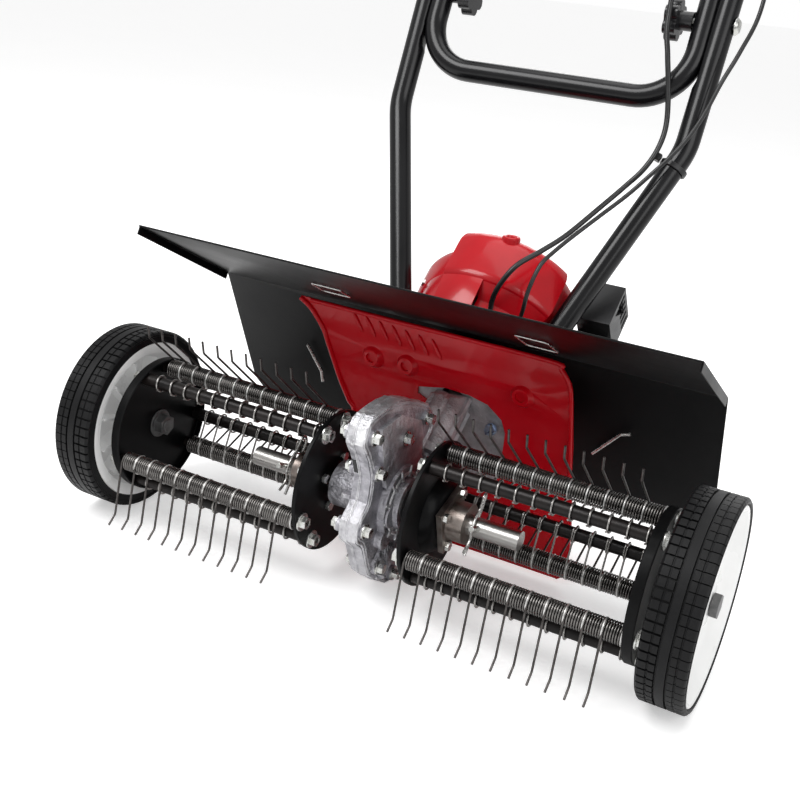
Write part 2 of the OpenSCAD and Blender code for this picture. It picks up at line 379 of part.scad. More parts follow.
// ---------- cables: held from the engine to the right grip ----------
function d2w(p) = [p[0]+drive_x, worm_offset*sin(drive_slope)+p[1]*sin(drive_slope)+p[2]*cos(drive_slope), -worm_offset*cos(drive_slope)-p[1]*cos(drive_slope)+p[2]*sin(drive_slope)];
CA = concat([d2w([24,-49,184])], [[29,124,159],[35,122,179],[46,130,199],[60,150,212],[75,170,227],[93,193,251],[110,212,274],[122,221,291],[129,231,310],[130,241,331],
  [124,250,360],[115,258,392],[107,268,422],[103,290,490],[106,328,585],[116,366,660],[132,410,722],[148,480,780],[156,540,818],[156,563.5,825]]);
CB = concat([d2w([44,-41,196])], [[60,125,160],[62,127,180],[66,137,202],[73,152,215],[84,171,230],[99,188,248],[116,204,268],[131,215,288],[142,222,303],[154,232,323],
  [163,242,347],[170,252,374],[178,267,402],[184,288,436],[181,312,488],[174,344,570],[167,372,640],[166,405,702],[168,450,752],[170,508,800],[170,545,820],[170,563,826]]);
module throttle_cable() color("black") W() sweep(smooth(CA,2), 2.5, 8);
module stop_wire() color("black") W() sweep(smooth(CB,2), 2.0, 8);
// ---------- drag bar ----------
module drag_bar() color([0.1,0.1,0.1]) W() difference() {
  union() { translate([wx-12,141,-88.9]) cube([24,6,117]); translate([wx-30,141,-88.9]) cube([60,78,4]); xprism([[146,-86],[146,-66],[166,-86]], wx-3, wx+3); }
  for(z=[8,-28,-46]) translate([wx,170,z]) rotate([90,0,0]) cylinder(r=4.2,h=50,$fn=32);
}
module drag_bar_pin() color("gainsboro") W() translate([wx,158,8]) rotate([90,0,0]) { translate([0,0,0]) cylinder(r=4,h=27,$fn=32); translate([0,0,-2]) cylinder(r=8,h=4,$fn=32); }

gearcase_left();
gearcase_right();
gearcase_bolts();
shaft_seals();
bearings();
clutch_case();
fender();
fender_bolts();
shield();
shield_clips();
engine_block();
engine_cover();
engine_screws();
muffler();
air_cleaner();
carburettor();
fuel_tank();
plug_cap();
handle_bracket();
handle_tube_left();
handle_tube_right();
handle_bolts();
drag_bar();
drag_bar_pin();
cable_tie();
throttle_cable();
stop_wire();
tine_shaft();
worm_wheel();
hub_left();
hub_right();
hub_pins();
inner_plate_left();
inner_plate_right();
outer_plate_left();
outer_plate_right();
coil_rods();
hook_rods();
rod_nuts();
tines_left();
tines_right();
wheel_bolts();
rim_left();
tyre_left();
rim_right();
tyre_right();
worm_shaft();
crankshaft();
flywheel();
upper_handle();
grips();
throttle_housing();
throttle_lever();
stop_switch();
knob_left();
knob_right();
pivot_bolts();
fuel_cap();
starter_grip();
choke_lever();
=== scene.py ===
import bpy, bmesh, math, json, random
from mathutils import Vector, Matrix


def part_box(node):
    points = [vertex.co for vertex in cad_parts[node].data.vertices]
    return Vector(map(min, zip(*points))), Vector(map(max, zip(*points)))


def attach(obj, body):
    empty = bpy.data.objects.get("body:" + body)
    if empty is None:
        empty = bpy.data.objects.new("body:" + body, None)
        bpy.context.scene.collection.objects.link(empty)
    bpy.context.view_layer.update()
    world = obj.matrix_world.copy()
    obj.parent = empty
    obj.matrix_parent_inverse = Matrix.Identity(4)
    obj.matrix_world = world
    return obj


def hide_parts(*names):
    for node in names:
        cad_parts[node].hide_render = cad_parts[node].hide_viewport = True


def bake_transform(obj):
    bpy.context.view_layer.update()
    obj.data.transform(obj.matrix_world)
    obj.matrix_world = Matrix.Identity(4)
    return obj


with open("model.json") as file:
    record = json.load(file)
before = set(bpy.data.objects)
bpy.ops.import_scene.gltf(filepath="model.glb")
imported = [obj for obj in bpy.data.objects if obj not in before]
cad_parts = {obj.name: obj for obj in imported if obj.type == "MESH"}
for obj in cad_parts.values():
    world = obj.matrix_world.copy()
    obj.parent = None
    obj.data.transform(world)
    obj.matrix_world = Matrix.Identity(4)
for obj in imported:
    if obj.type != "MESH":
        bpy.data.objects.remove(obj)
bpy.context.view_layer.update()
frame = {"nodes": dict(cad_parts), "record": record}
NODES = frame["nodes"]
BODY = {n: b for b, ns in frame["record"]["behaviour"]["bodies"].items() for n in ns}
SLOT = {s["node"]: s["material_slot"] for s in frame["record"]["subparts"]}
scene = bpy.context.scene
rnd = random.Random(7)

# ---------------------------------------------------------------- frames
_lo, _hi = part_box("tyre_left")
AX = Vector((0.0, (_lo.y + _hi.y) / 2, (_lo.z + _hi.z) / 2))      # axle centre
def W(x, y, z):                                                    # axle frame, mm -> part frame, m
    return Vector((x / 1000.0, y / 1000.0 + AX.y, z / 1000.0 + AX.z))
C40, S40 = math.cos(math.radians(40)), math.sin(math.radians(40))
def D(x, y, s):                                                    # drive frame, mm -> part frame, m
    return W(x + 6, 28 * S40 + y * S40 + s * C40, -28 * C40 - y * C40 + s * S40)
MD = Matrix.Translation(D(0, 0, 0)) @ Matrix.Rotation(math.radians(-50), 4, "X")
MW = Matrix.Translation(W(0, 0, 0))

# ---------------------------------------------------------------- camera
cam_data = bpy.data.cameras.new("camera")
cam = bpy.data.objects.new("camera", cam_data)
scene.collection.objects.link(cam)
R = Vector((0.8779040045817853, 0.4673092062917436, 0.10443497715921253)).normalized()
U = Vector((-0.2523051950590534, 0.2660741777130733, 0.9303475804776)).normalized()
Dv = R.cross(U)
cam.matrix_world = Matrix(((R.x, U.x, Dv.x, 0), (R.y, U.y, Dv.y, 0), (R.z, U.z, Dv.z, 0), (0, 0, 0, 1)))
cam.matrix_world.translation = W(402.6473, -820.0765, 435.8198)
cam_data.sensor_width = 36.0
cam_data.lens = 1129.719 / 800 * 36
cam_data.clip_start = 0.01
scene.camera = cam

# ---------------------------------------------------------------- materials
def new_mat(name):
    m = bpy.data.materials.new(name)
    m.use_nodes = True
    nt = m.node_tree
    nt.nodes.clear()
    out = nt.nodes.new("ShaderNodeOutputMaterial")
    b = nt.nodes.new("ShaderNodeBsdfPrincipled")
    nt.links.new(b.outputs[0], out.inputs[0])
    tc = nt.nodes.new("ShaderNodeTexCoord")
    return m, nt, b, tc
def noise_node(nt, tc, scale, detail=4.0, rough=0.55, stretch=None):
    n = nt.nodes.new("ShaderNodeTexNoise")
    n.inputs["Scale"].default_value = scale
    n.inputs["Detail"].default_value = detail
    n.inputs["Roughness"].default_value = rough
    if stretch:
        mp = nt.nodes.new("ShaderNodeMapping")
        mp.inputs["Scale"].default_value = stretch
        nt.links.new(tc.outputs["Object"], mp.inputs["Vector"])
        nt.links.new(mp.outputs[0], n.inputs["Vector"])
    else:
        nt.links.new(tc.outputs["Object"], n.inputs["Vector"])
    return n
def ramp(nt, src, a, b, c0, c1):
    r = nt.nodes.new("ShaderNodeValToRGB")
    r.color_ramp.elements[0].position = a
    r.color_ramp.elements[1].position = b
    r.color_ramp.elements[0].color = tuple(c0) + (1,)
    r.color_ramp.elements[1].color = tuple(c1) + (1,)
    nt.links.new(src, r.inputs[0])
    return r
def maprange(nt, src, a, b, lo, hi):
    r = nt.nodes.new("ShaderNodeMapRange")
    r.inputs["From Min"].default_value = a
    r.inputs["From Max"].default_value = b
    r.inputs["To Min"].default_value = lo
    r.inputs["To Max"].default_value = hi
    nt.links.new(src, r.inputs["Value"])
    return r
def material(name, c0, c1, rough=(0.3, 0.4), metal=0.0, big=14.0, fine=900.0, bump=0.06, bump_dist=0.0004,
             coat=0.0, coat_rough=0.1, edge_tint=None, edge_tint_amt=0.0, stretch=None, ior=1.5, second=None, spec=None):
    """base colour drifting between c0 and c1, roughness drifting too, fine bump, optional edge tint on sharp edges
    (worn edges; on cast aluminium also a painted highlight along the rims) and second coarser bump
    """
    m, nt, b, tc = new_mat(name)
    n1 = noise_node(nt, tc, big, 5.0, 0.6, stretch)
    n2 = noise_node(nt, tc, fine, 3.0, 0.6, stretch)
    col = ramp(nt, n1.outputs["Fac"], 0.35, 0.68, c0, c1)
    last = col.outputs[0]
    if edge_tint is not None:
        geo = nt.nodes.new("ShaderNodeNewGeometry")
        w = maprange(nt, geo.outputs["Pointiness"], 0.52, 0.60, 0.0, edge_tint_amt)
        nw = noise_node(nt, tc, 120.0, 4.0)
        mul = nt.nodes.new("ShaderNodeMath"); mul.operation = "MULTIPLY"
        nt.links.new(w.outputs[0], mul.inputs[0]); nt.links.new(nw.outputs["Fac"], mul.inputs[1])
        mix = nt.nodes.new("ShaderNodeMix"); mix.data_type = "RGBA"
        nt.links.new(mul.outputs[0], mix.inputs["Factor"])
        nt.links.new(last, mix.inputs[6]); mix.inputs[7].default_value = tuple(edge_tint) + (1,)
        last = mix.outputs[2]
    nt.links.new(last, b.inputs["Base Color"])
    rr = maprange(nt, n1.outputs["Fac"], 0.3, 0.7, rough[0], rough[1])
    nt.links.new(rr.outputs[0], b.inputs["Roughness"])
    b.inputs["Metallic"].default_value = metal
    b.inputs["IOR"].default_value = ior
    if spec is not None:
        b.inputs["Specular IOR Level"].default_value = spec
    b.inputs["Coat Weight"].default_value = coat
    b.inputs["Coat Roughness"].default_value = coat_rough
    bp = nt.nodes.new("ShaderNodeBump")
    bp.inputs["Strength"].default_value = bump
    bp.inputs["Distance"].default_value = bump_dist
    nt.links.new(n2.outputs["Fac"], bp.inputs["Height"])
    if second:
        n3 = noise_node(nt, tc, second[0], 2.0, 0.5)
        bp2 = nt.nodes.new("ShaderNodeBump")
        bp2.inputs["Strength"].default_value = second[1]
        bp2.inputs["Distance"].default_value = second[2]
        nt.links.new(n3.outputs["Fac"], bp2.inputs["Height"])
        nt.links.new(bp.outputs[0], bp2.inputs["Normal"])
        bp = bp2
    nt.links.new(bp.outputs[0], b.inputs["Normal"])
    return m

M = {}
M["black_paint"] = material("black_paint", (0.0016, 0.0016, 0.0019), (0.0034, 0.0034, 0.0038), (0.30, 0.42), big=9, fine=1400, bump=0.05,
                            coat=0.04, coat_rough=0.14, edge_tint=(0.03, 0.03, 0.03), edge_tint_amt=0.3, second=(90, 0.07, 0.0010), ior=1.30, spec=0.22)
M["tube_paint"] = material("tube_paint", (0.0030, 0.0030, 0.0036), (0.0056, 0.0056, 0.0066), (0.19, 0.28), big=12, fine=1600, bump=0.07,
                           bump_dist=0.0003, coat=0.10, coat_rough=0.12, ior=1.36)
M["rod_black"] = material("rod_black", (0.0065, 0.0055, 0.0055), (0.016, 0.012, 0.011), (0.28, 0.42), metal=0.30, big=60, fine=1200, bump=0.08, ior=1.40)
M["red_paint"] = material("red_paint", (0.50, 0.0008, 0.0060), (0.64, 0.0016, 0.0100), (0.20, 0.28), big=7, fine=1200, bump=0.03,
                          coat=0.22, coat_rough=0.05, second=(70, 0.05, 0.001), ior=1.32)
M["red_plastic"] = material("red_plastic", (0.40, 0.0010, 0.0060), (0.52, 0.0018, 0.0090), (0.22, 0.30), big=10, fine=1500, bump=0.04,
                            coat=0.28, coat_rough=0.07, ior=1.34)
# edges tinted near white by pointiness: worn metal and a painted highlight along the cast rims
M["cast_aluminium"] = material("cast_aluminium", (0.34, 0.335, 0.365), (0.62, 0.61, 0.65), (0.34, 0.52), metal=0.92, big=85, fine=480,
                               bump=0.90, bump_dist=0.0012, edge_tint=(0.95, 0.95, 0.96), edge_tint_amt=2.0, second=(150, 0.75, 0.0026))
M["cast_grey"] = material("cast_grey", (0.34, 0.335, 0.35), (0.60, 0.59, 0.61), (0.42, 0.58), metal=0.75, big=60, fine=520,
                          bump=0.80, bump_dist=0.0010, edge_tint=(0.80, 0.80, 0.82), edge_tint_amt=1.5, second=(140, 0.55, 0.0020))
M["dull_steel"] = material("dull_steel", (0.10, 0.10, 0.10), (0.20, 0.20, 0.20), (0.38, 0.52), metal=0.7, big=90, fine=900, bump=0.10)
M["satin_zinc"] = material("satin_zinc", (0.46, 0.46, 0.44), (0.66, 0.66, 0.64), (0.44, 0.56), metal=0.6, big=120, fine=900, bump=0.10)
M["machined"] = material("machined", (0.66, 0.66, 0.67), (0.80, 0.80, 0.81), (0.20, 0.32), metal=1.0, big=30, fine=1400, bump=0.12, stretch=(8, 1, 1))
M["zinc"] = material("zinc", (0.60, 0.60, 0.56), (0.80, 0.81, 0.80), (0.20, 0.34), metal=1.0, big=160, fine=900, bump=0.08)
M["blue_zinc"] = material("blue_zinc", (0.22, 0.30, 0.46), (0.50, 0.56, 0.66), (0.22, 0.36), metal=1.0, big=120, fine=900, bump=0.08)
M["steel"] = material("steel", (0.46, 0.44, 0.42), (0.66, 0.65, 0.63), (0.22, 0.38), metal=1.0, big=50, fine=700, bump=0.15, stretch=(0.15, 1, 1))
M["brown_steel"] = material("brown_steel", (0.15, 0.115, 0.10), (0.40, 0.36, 0.33), (0.26, 0.46), metal=0.95, big=55, fine=900, bump=0.2, second=(180, 0.15, 0.0008))
M["spring_steel"] = material("spring_steel", (0.15, 0.143, 0.137), (0.25, 0.238, 0.228), (0.20, 0.30), metal=0.95, big=22, fine=1200, bump=0.02)
# legs: the same spring wire as the coils, painted darker as painted shade
M["spring_steel_painted_shade"] = material("spring_steel_painted_shade", (0.055, 0.050, 0.048), (0.13, 0.12, 0.115), (0.26, 0.40), metal=0.90, big=200, fine=1200, bump=0.05)
# hooks: the same spring wire as the coils, painted lighter as a painted highlight
M["spring_steel_painted_highlight"] = material("spring_steel_painted_highlight", (0.30, 0.29, 0.28), (0.50, 0.48, 0.46), (0.22, 0.34), metal=0.95, big=60, fine=1200, bump=0.03)
M["bright_wire"] = material("bright_wire", (0.55, 0.54, 0.52), (0.82, 0.81, 0.79), (0.20, 0.32), metal=0.9, big=200, fine=1200, bump=0.05)
# rings: the same spring wire as the coils, painted near white as a painted glint
M["spring_steel_painted_glint"] = material("spring_steel_painted_glint", (0.58, 0.57, 0.56), (0.84, 0.83, 0.81), (0.26, 0.38), metal=0.8, big=60, fine=1200, bump=0.03)
M["bronze"] = material("bronze", (0.42, 0.26, 0.10), (0.58, 0.38, 0.17), (0.28, 0.4), metal=1.0, big=60, fine=900, bump=0.1)
M["tyre"] = material("tyre", (0.0040, 0.0040, 0.0043), (0.0080, 0.0080, 0.0086), (0.36, 0.50), big=30, fine=900, bump=0.22, bump_dist=0.0004, ior=1.36, spec=0.35)
M["white_plastic"] = material("white_plastic", (0.78, 0.78, 0.77), (0.86, 0.86, 0.855), (0.22, 0.34), big=12, fine=1100, bump=0.05, coat=0.2, coat_rough=0.15)
# the rim plastic glows faintly (emission 0.07): painted light that keeps the rims white where they fall in shade
_wp = [n for n in M["white_plastic"].node_tree.nodes if n.type == "BSDF_PRINCIPLED"][0]
_wp.inputs["Emission Color"].default_value = (1.0, 1.0, 1.0, 1.0); _wp.inputs["Emission Strength"].default_value = 0.07
_wp.inputs["Subsurface Weight"].default_value = 0.0
M["milky"] = material("milky", (0.72, 0.71, 0.66), (0.80, 0.79, 0.74), (0.3, 0.42), big=9, fine=900, bump=0.06)
M["black_plastic"] = material("black_plastic", (0.010, 0.010, 0.011), (0.018, 0.018, 0.019), (0.32, 0.46), big=25, fine=1000, bump=0.28, bump_dist=0.00035)
M["knob_plastic"] = material("knob_plastic", (0.008, 0.008, 0.009), (0.014, 0.014, 0.015), (0.20, 0.30), big=25, fine=1000, bump=0.08)
M["rubber"] = material("rubber", (0.012, 0.012, 0.012), (0.022, 0.022, 0.022), (0.55, 0.7), big=30, fine=700, bump=0.3, bump_dist=0.0005)
M["engine_metal"] = material("engine_metal", (0.035, 0.035, 0.038), (0.09, 0.09, 0.095), (0.42, 0.6), metal=0.7, big=40, fine=500, bump=0.4, bump_dist=0.0006)
M["cable"] = material("cable", (0.007, 0.007, 0.0075), (0.012, 0.012, 0.0125), (0.25, 0.36), big=60, fine=1500, bump=0.05)
M["rope"] = material("rope", (0.55, 0.52, 0.46), (0.70, 0.67, 0.60), (0.7, 0.85), big=200, fine=1500, bump=0.4)

# ---------------------------------------------------------------- mesh helpers
def obj_from(name, verts, faces, mat, body, smooth=None, merge=None):
    me = bpy.data.meshes.new(name)
    me.from_pydata([tuple(v) for v in verts], [], faces)
    me.update()
    return finish_obj(name, me, mat, body, smooth)
def finish_obj(name, me, mat, body, smooth=None, fix=True):
    if fix:
        bm = bmesh.new(); bm.from_mesh(me)
        bmesh.ops.recalc_face_normals(bm, faces=bm.faces)
        bm.to_mesh(me); bm.free()
    if smooth is not None:
        for p in me.polygons: p.use_smooth = True
        me.set_sharp_from_angle(angle=math.radians(smooth))
    me.materials.clear(); me.materials.append(mat)
    ob = bpy.data.objects.new(name, me)
    scene.collection.objects.link(ob)
    if body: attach(ob, body)
    return ob
def unit(v): return v.normalized()
class Geo:
    def __init__(self): self.v = []; self.f = []
    def add(self, verts, faces):
        o = len(self.v); self.v += [Vector(p) for p in verts]; self.f += [tuple(i + o for i in f) for f in faces]
    def tube(self, pts, r, n=12, caps=True, closed=False):
        pts = [Vector(p) for p in pts]
        m = len(pts)
        rad = r if isinstance(r, (list, tuple)) else [r] * m
        tang = []
        for i in range(m):
            if closed: t = pts[(i + 1) % m] - pts[i - 1]
            elif i == 0: t = pts[1] - pts[0]
            elif i == m - 1: t = pts[-1] - pts[-2]
            else: t = unit(pts[i + 1] - pts[i]) + unit(pts[i] - pts[i - 1])
            tang.append(unit(t))
        a = tang[0].orthogonal().normalized()
        vs = []
        for i in range(m):
            a = unit(a - tang[i] * a.dot(tang[i]))
            b = tang[i].cross(a)
            for k in range(n):
                th = 2 * math.pi * k / n
                vs.append(pts[i] + a * (rad[i] * math.cos(th)) + b * (rad[i] * math.sin(th)))
        fs = []
        for i in range(m if closed else m - 1):
            j = (i + 1) % m
            for k in range(n):
                fs.append((i * n + k, i * n + (k + 1) % n, j * n + (k + 1) % n, j * n + k))
        if caps and not closed:
            fs.append(tuple(range(n - 1, -1, -1))); fs.append(tuple((m - 1) * n + k for k in range(n)))
        self.add(vs, fs)
    def revolve(self, prof, mat, n=64, a0=0.0, a1=360.0, closed=True):
        """prof: list of (r, h); turned about local Z of mat (4x4); prof closed loop when closed"""
        full = abs(a1 - a0) >= 359.9
        m = len(prof)
        cols = n if full else n + 1
        vs = []
        for c in range(cols):
            th = math.radians(a0 + (a1 - a0) * c / n)
            for r, h in prof:
                vs.append(mat @ Vector((r * math.cos(th), r * math.sin(th), h)))
        fs = []
        for c in range(n):
            d = (c + 1) % cols if full else c + 1
            for i in range(m if closed else m - 1):
                j = (i + 1) % m
                fs.append((c * m + i, c * m + j, d * m + j, d * m + i))
        if not full and closed:
            fs.append(tuple(range(m - 1, -1, -1))); fs.append(tuple((cols - 1) * m + i for i in range(m)))
        self.add(vs, fs)
    def disc_solid(self, prof, mat, n=32):
        """prof: open list (r,h) from axis to axis (r=0 at both ends allowed)"""
        vs = []; ring = []
        for r, h in prof:
            if r < 1e-6:
                vs.append(mat @ Vector((0, 0, h))); ring.append([len(vs) - 1])
            else:
                s = len(vs)
                for k in range(n):
                    th = 2 * math.pi * k / n
                    vs.append(mat @ Vector((r * math.cos(th), r * math.sin(th), h)))
                ring.append(list(range(s, s + n)))
        fs = []
        for a, b in zip(ring, ring[1:]):
            if len(a) == 1 and len(b) == 1: continue
            for k in range(n):
                k2 = (k + 1) % n
                if len(a) == 1: fs.append((a[0], b[k], b[k2]))
                elif len(b) == 1: fs.append((a[k], b[0], a[k2]))
                else: fs.append((a[k], b[k], b[k2], a[k2]))
        if len(ring[0]) > 1: fs.append(tuple(reversed(ring[0])))
        if len(ring[-1]) > 1: fs.append(tuple(ring[-1]))
        self.add(vs, fs)
    def hexa(self, af, h0, h1, mat, n=6, ch=0.12):
        r = af / math.sqrt(3)
        c = r * ch
        self.disc_solid([(r * 0.98, h0), (r, h0 + c * 0.2), (r, h1 - c), (r - c, h1), (0, h1)], mat, n)
    def make(self, name, mat, body, slot, smooth=35, fix=True):
        return obj_from(name, self.v, self.f, mat, body, smooth)

def axis_mat(origin, z, x=None):
    z = Vector(z).normalized()
    x = Vector(x).normalized() if x is not None else z.orthogonal().normalized()
    x = (x - z * x.dot(z)).normalized()
    y = z.cross(x)
    return Matrix(((x.x, y.x, z.x, origin[0]), (x.y, y.y, z.y, origin[1]), (x.z, y.z, z.z, origin[2]), (0, 0, 0, 1)))
def cr(P, k):
    """Catmull-Rom through points, k steps a span"""
    out = []
    n = len(P)
    for i in range(n - 1):
        a, b, c, d = P[max(i - 1, 0)], P[i], P[i + 1], P[min(i + 2, n - 1)]
        for j in range(k):
            t = j / k
            out.append(0.5 * ((2 * b) + (c - a) * t + (2 * a - 5 * b + 4 * c - d) * t * t + (3 * b - a - 3 * c + d) * t ** 3))
    out.append(P[-1])
    return out
def bent(P, radius, step=6.0):
    """polyline with rounded corners (mm)"""
    out = [Vector(P[0])]
    for i in range(1, len(P) - 1):
        a, b, c = Vector(P[i - 1]), Vector(P[i]), Vector(P[i + 1])
        u, v = unit(a - b), unit(c - b)
        ang = u.angle(v)
        d = min(radius / math.tan(ang / 2), (a - b).length * 0.49, (c - b).length * 0.49)
        p0, p1 = b + u * d, b + v * d
        rr = d * math.tan(ang / 2)
        ce = b + unit(u + v) * (rr / math.sin(ang / 2))
        n = max(3, int((math.pi - ang) * rr / step) + 1)
        e0, e1 = p0 - ce, p1 - ce
        om = e0.angle(e1)
        for k in range(n + 1):
            t = k / n
            q = ce + (e0 * math.sin((1 - t) * om) + e1 * math.sin(t * om)) / math.sin(om) if om > 1e-4 else p0
            out.append(q)
    out.append(Vector(P[-1]))
    # spread extra rings along straight runs
    res = [out[0]]
    for p, q in zip(out, out[1:]):
        L = (q - p).length
        m = max(1, int(L / 25))
        for k in range(1, m + 1): res.append(p.lerp(q, k / m))
    return res

def soft(node, mat, width=0.0007, seg=2, angle=32, name=None, smooth=40, dissolve=0.6):
    """the CAD node's own shape with small rounded edges and a detailed material"""
    src = NODES[node]
    me = src.data.copy()
    bm = bmesh.new(); bm.from_mesh(me)
    bmesh.ops.remove_doubles(bm, verts=bm.verts, dist=2e-6)
    bmesh.ops.dissolve_limit(bm, angle_limit=math.radians(dissolve), verts=bm.verts, edges=bm.edges)
    bm.to_mesh(me); bm.free()
    ob = finish_obj(name or node + "_fine", me, mat, BODY[node], smooth, fix=False)
    if width:
        bv = ob.modifiers.new("round", "BEVEL")
        bv.width = width; bv.segments = seg; bv.limit_method = "ANGLE"; bv.angle_limit = math.radians(angle)
        bv.harden_normals = False; bv.use_clamp_overlap = True; bv.miter_outer = "MITER_ARC"
    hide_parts(node)
    return ob
def paint(node, mat):
    o = NODES[node]
    o.data.materials.clear() if not o.material_slots else None
    if o.material_slots:
        for s in o.material_slots: s.material = mat
    else:
        o.data.materials.append(mat)
    for p in o.data.polygons: p.use_smooth = True
    o.data.set_sharp_from_angle(angle=math.radians(30))

# ---------------------------------------------------------------- cables (held from the engine to the right grip)
def onbar(x, y, z):
    a = -math.atan2(128, 30); G = (162, 264.5 + 370 * .37 + 165, 351 + 370 * .929 + 112)
    return (G[0] + x, G[1] + y * math.cos(a) - z * math.sin(a), G[2] + y * math.sin(a) + z * math.cos(a))
CA = [D(24, -49, 184)] + [W(*p) for p in [(29, 124, 159), (35, 122, 179), (46, 130, 199), (60, 150, 212), (75, 170, 227), (93, 193, 251), (110, 212, 274),
      (122, 221, 291), (129, 231, 310), (130, 241, 331), (124, 250, 360), (115, 258, 392), (107, 268, 422), (103, 290, 490), (106, 328, 585),
      (116, 366, 660), (132, 410, 722), (148, 480, 780), (156, 540, 818), (156, 563.5, 825)]]
CB = [D(44, -41, 196)] + [W(*p) for p in [(60, 125, 160), (62, 127, 180), (66, 137, 202), (73, 152, 215), (84, 171, 230), (99, 188, 248), (116, 204, 268),
      (131, 215, 288), (142, 222, 303), (154, 232, 323), (163, 242, 347), (170, 252, 374), (178, 267, 402), (184, 288, 436), (181, 312, 488), (174, 344, 570),
      (167, 372, 640), (166, 405, 702), (168, 450, 752), (170, 508, 800), (170, 545, 820), (170, 563, 826)]]
for nm, P, r, node in (("throttle_cable_run", CA, 0.0025, "throttle_cable"), ("stop_wire_run", CB, 0.0020, "stop_wire")):
    g = Geo(); g.tube(cr(P, 8), r, 14)
    o = g.make(nm, M["cable"], None, SLOT[node], 60)
    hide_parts(node)
    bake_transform(o)
# the tie that holds both to the tube
TD = unit(Vector((89.6, 115.1, 230.6)))
tc0 = Vector((143.5, 238.7, 291.5))

# ---------------------------------------------------------------- handle tubes
TUBE_BOLT = (293, 422)
def flatten(verts, keep_side, xlim, v0, v1):
    for v in verts:
        x, y, z = v.x * 1000, (v.y - AX.y) * 1000, (v.z - AX.z) * 1000
        t = (y - TUBE_BOLT[0]) * 0.37 + (z - TUBE_BOLT[1]) * 0.929
        if v0 <= t <= v1:
            s = 1 if x > 0 else -1
            f = min(1.0, min(t - v0, v1 - t) / 8.0)
            ax = abs(x)
            if keep_side == "out" and ax < xlim: ax = ax + (xlim - ax) * f
            if keep_side == "in" and ax > xlim: ax = ax + (xlim - ax) * f
            v.x = s * ax / 1000
for s, node in ((-1, "handle_tube_left"), (1, "handle_tube_right")):
    P = [(s * 60.8, 132.5, 78.7), (s * 150.4, 247.6, 309.3), (s * 153.4, 306, 456)]
    pts = bent([Vector(p) for p in P], 70, 5)
    extra = []
    for p, q in zip(pts, pts[1:]):
        m = max(1, int((q - p).length / 5)); extra += [p.lerp(q, k / m) for k in range(m)]
    extra.append(pts[-1])
    g = Geo(); g.tube([W(*p) for p in extra], 0.011, 40)
    flatten(g.v, "out", 144.4, -62, 90)
    o = g.make(node + "_paint", M["tube_paint"], "chassis", SLOT[node], 45)
    bv = o.modifiers.new("round", "BEVEL"); bv.width = 0.0015; bv.segments = 2; bv.limit_method = "ANGLE"; bv.angle_limit = math.radians(60)
    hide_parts(node)
UDv = Vector((0, 0.37, 0.929))
def ulegs():
    C0 = Vector((0, 264.5, 351))
    path = []
    for s in (-1, 1):
        side = [C0 + Vector((s * 136, 0, 0)) * 1.0]
        L1 = C0 + Vector((s * 136, 0, 0)) + UDv * 370
        L2 = L1 + Vector((s * 26, 165, 112)); L3 = L2 + Vector((0, 128, 30))
        side += [L1, L2, L3]
        path.append(side)
    left, right = path
    return list(reversed(left)) + right
up = ulegs()
def bent_multi(P, radii, step=5.0):
    out = [Vector(P[0])]
    for i in range(1, len(P) - 1):
        seg = bent([P[i - 1], P[i], P[i + 1]], radii[i], step)
        core = []
        a, b, c = Vector(P[i - 1]), Vector(P[i]), Vector(P[i + 1])
        u, v = unit(a - b), unit(c - b); ang = u.angle(v)
        d = min(radii[i] / math.tan(ang / 2), (a - b).length * 0.49, (c - b).length * 0.49)
        rr = d * math.tan(ang / 2); ce = b + unit(u + v) * (rr / math.sin(ang / 2))
        e0, e1 = b + u * d - ce, b + v * d - ce; om = e0.angle(e1)
        n = max(4, int(om * rr / step) + 1)
        for k in range(n + 1):
            t = k / n; core.append(ce + (e0 * math.sin((1 - t) * om) + e1 * math.sin(t * om)) / math.sin(om))
        out += core
    out.append(Vector(P[-1]))
    res = [out[0]]
    for p, q in zip(out, out[1:]):
        m = max(1, int((q - p).length / 5))
        for k in range(1, m + 1): res.append(p.lerp(q, k / m))
    return res
pts = bent_multi(up, [0, 70, 60, 50, 50, 60, 70, 0])
g = Geo(); g.tube([W(*p) for p in pts], 0.011, 40)
flatten(g.v, "in", 144.0, -62, 50)
o = g.make("upper_handle_paint", M["tube_paint"], "upper_handle", SLOT["upper_handle"], 45)
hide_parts("upper_handle")

# ---------------------------------------------------------------- knobs with lobes and a fluted neck
for s, node in ((-1, "knob_left"), (1, "knob_right")):
    soft(node, M["knob_plastic"], width=0.0022, seg=3, angle=30)
soft("pivot_bolts", M["zinc"], width=0.0008)
soft("throttle_housing", M["black_plastic"], width=0.0025, seg=3)
soft("throttle_lever", M["black_plastic"], width=0.0012, seg=3)
soft("stop_switch", M["red_plastic"], width=0.0008, seg=2)
# ribbed rubber grips
for s in (-1, 1):
    G0 = Vector((s * 162, 264.5 + 370 * .37 + 165, 351 + 370 * .929 + 112)); GD = Vector((0, 128, 30)) / 131.47
    g = Geo()
    prof = []
    t = 28.0
    prof.append((11.3, 28.0)); prof.append((15.0, 28.0)); prof.append((15.4, 29.0)); prof.append((15.4, 34.0)); prof.append((14.6, 35.0))
    t = 37.0
    while t < 126:
        prof += [(14.4, t), (15.2, t + 0.7), (15.2, t + 2.3), (14.4, t + 3.0)]; t += 4.2
    prof += [(15.3, 127.5), (15.3, 131.5), (14.4, 132.8), (0, 132.9)]
    mt = axis_mat(W(*G0), GD)
    pr = [(r / 1000, h / 1000) for r, h in prof]
    g.disc_solid(pr, mt, 40)
    if s < 0: gl = g
    else:
        for v, in zip(gl.v): pass
        g.add(gl.v, gl.f)
        o = g.make("grip_rubber", M["rubber"], "upper_handle", SLOT["grips"], 30)
        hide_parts("grips")

